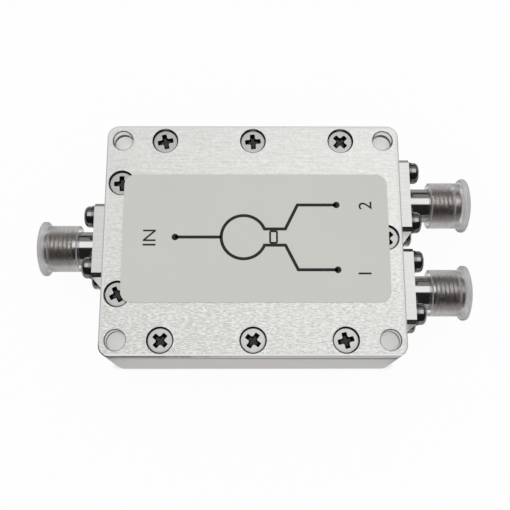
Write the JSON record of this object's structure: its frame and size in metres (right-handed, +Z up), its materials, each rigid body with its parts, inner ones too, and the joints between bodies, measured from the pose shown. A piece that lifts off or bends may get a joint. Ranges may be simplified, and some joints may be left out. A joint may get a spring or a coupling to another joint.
{
  "type": "rf power splitter",
  "caption": "Flat milled metal housing with a screwed lid and label, a coaxial input port at one end, output ports at the other, and translucent dust caps over the threaded barrels.",
  "frame": {"origin": "centre of the four mounting holes, on the underside of the housing", "axes": "+X from the input port towards the output ports, +Z up through the lid"},
  "size_m": [0.0732, 0.0384, 0.016],
  "materials": {
    "housing_aluminium": "fine milled, satin",
    "lid_aluminium": "brushed along its length, satin",
    "label_film": "matt printed film",
    "screw_steel": "zinc-plated steel",
    "board_laminate": "solder mask",
    "plated_conductor": "gold plated",
    "resistor_chip": "fired glaze",
    "plated_shell": "bright plated, turned and milled",
    "insulator_white": "smooth, waxy",
    "flange_screw_steel": "bright steel",
    "washer_steel": "bright steel",
    "cap_plastic": "translucent, slightly milky"
  },
  "bodies": {
    "root": {"housing": "housing_aluminium", "lid": "lid_aluminium", "label": "label_film", "lid_screws": "screw_steel", "circuit_board": "board_laminate", "conductor_pattern": "plated_conductor", "isolation_resistor": "resistor_chip", "board_screws": "screw_steel", "input_shell": "plated_shell", "output_1_shell": "plated_shell", "output_2_shell": "plated_shell", "input_insulator": "insulator_white", "output_1_insulator": "insulator_white", "output_2_insulator": "insulator_white", "input_contact": "plated_conductor", "output_1_contact": "plated_conductor", "output_2_contact": "plated_conductor", "input_flange_screws": "flange_screw_steel", "output_1_flange_screws": "flange_screw_steel", "output_2_flange_screws": "flange_screw_steel", "input_washers": "washer_steel", "output_1_washers": "washer_steel", "output_2_washers": "washer_steel", "input_dust_cap": "cap_plastic", "output_1_dust_cap": "cap_plastic", "output_2_dust_cap": "cap_plastic"}
  },
  "joints": []
}
